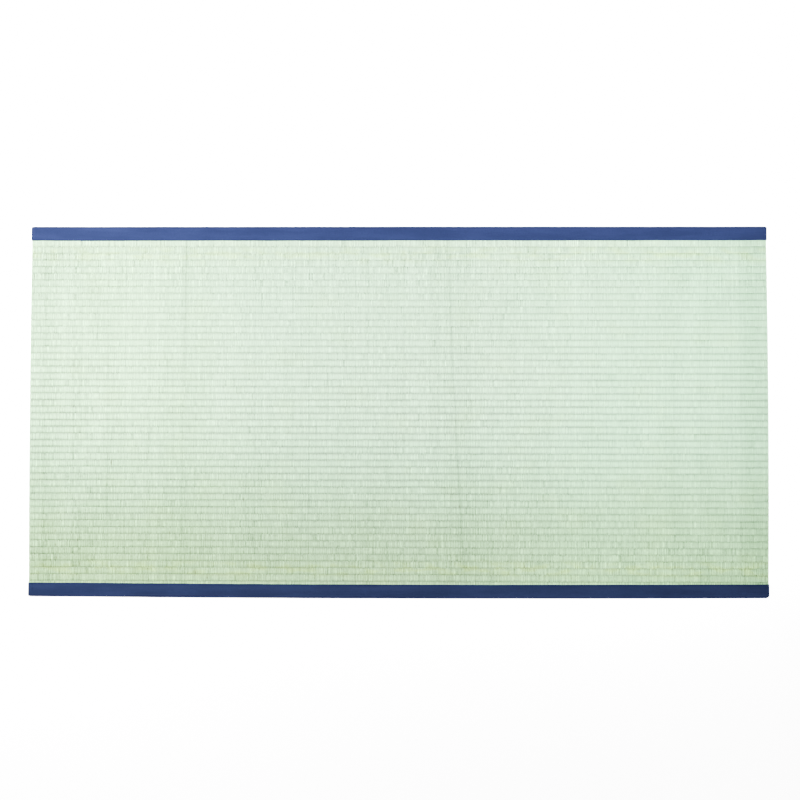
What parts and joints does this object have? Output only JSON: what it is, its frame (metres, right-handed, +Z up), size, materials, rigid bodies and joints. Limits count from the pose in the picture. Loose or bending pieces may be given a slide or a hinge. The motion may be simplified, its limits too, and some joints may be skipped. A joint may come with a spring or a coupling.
{
  "type": "tatami mat",
  "caption": "Thin ribbed rush floor mat with a folded cloth border along its long edges, its short ends turned under and old fold lines across it.",
  "frame": {"origin": "in the plane the mat rests on, under the middle of the rush sheet", "axes": "+X along the mat's length, +Y across it towards the back border, +Z up"},
  "size_m": [1.7648, 0.8865, 0.008],
  "materials": {
    "rush": "woven pale green rush, soft sheen",
    "border_cloth": "navy blue woven cloth, matte"
  },
  "bodies": {
    "root": {"rush_sheet": "rush", "border_back": "border_cloth", "border_front": "border_cloth"}
  },
  "joints": []
}
